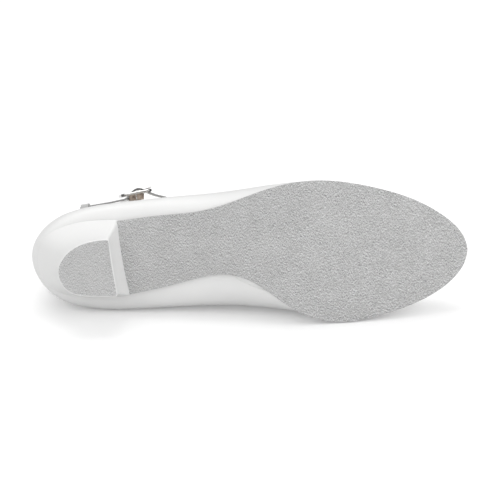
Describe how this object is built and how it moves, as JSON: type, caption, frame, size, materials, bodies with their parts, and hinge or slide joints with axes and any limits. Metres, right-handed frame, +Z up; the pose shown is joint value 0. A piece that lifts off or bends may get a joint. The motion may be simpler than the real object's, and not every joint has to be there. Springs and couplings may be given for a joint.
{
  "type": "character shoe",
  "caption": "Low-heeled stage dance shoe with a closed toe, suede sole, covered block heel and a buckled ankle strap, lying on its inner side.",
  "frame": {"origin": "on the floor, under the middle of the shoe's bounding box", "axes": "+X towards the toe, +Y towards the collar (the sole faces -Y), +Z up from the floor, which is the shoe's outer side"},
  "size_m": [0.257, 0.1242, 0.083],
  "materials": {
    "upper": "satin",
    "insole": "matte",
    "outsole": "matte",
    "heel": "satin",
    "heel_top_piece": "matte",
    "strap": "satin",
    "buckle_tab": "satin",
    "strap_keeper": "satin",
    "buckle_frame": "polished",
    "buckle_prong": "polished"
  },
  "bodies": {
    "root": {"upper": "upper", "insole": "insole", "outsole": "outsole", "heel": "heel", "heel_top_piece": "heel_top_piece", "strap": "strap", "buckle_tab": "buckle_tab", "strap_keeper": "strap_keeper", "buckle_frame": "buckle_frame", "buckle_prong": "buckle_prong"}
  },
  "joints": []
}
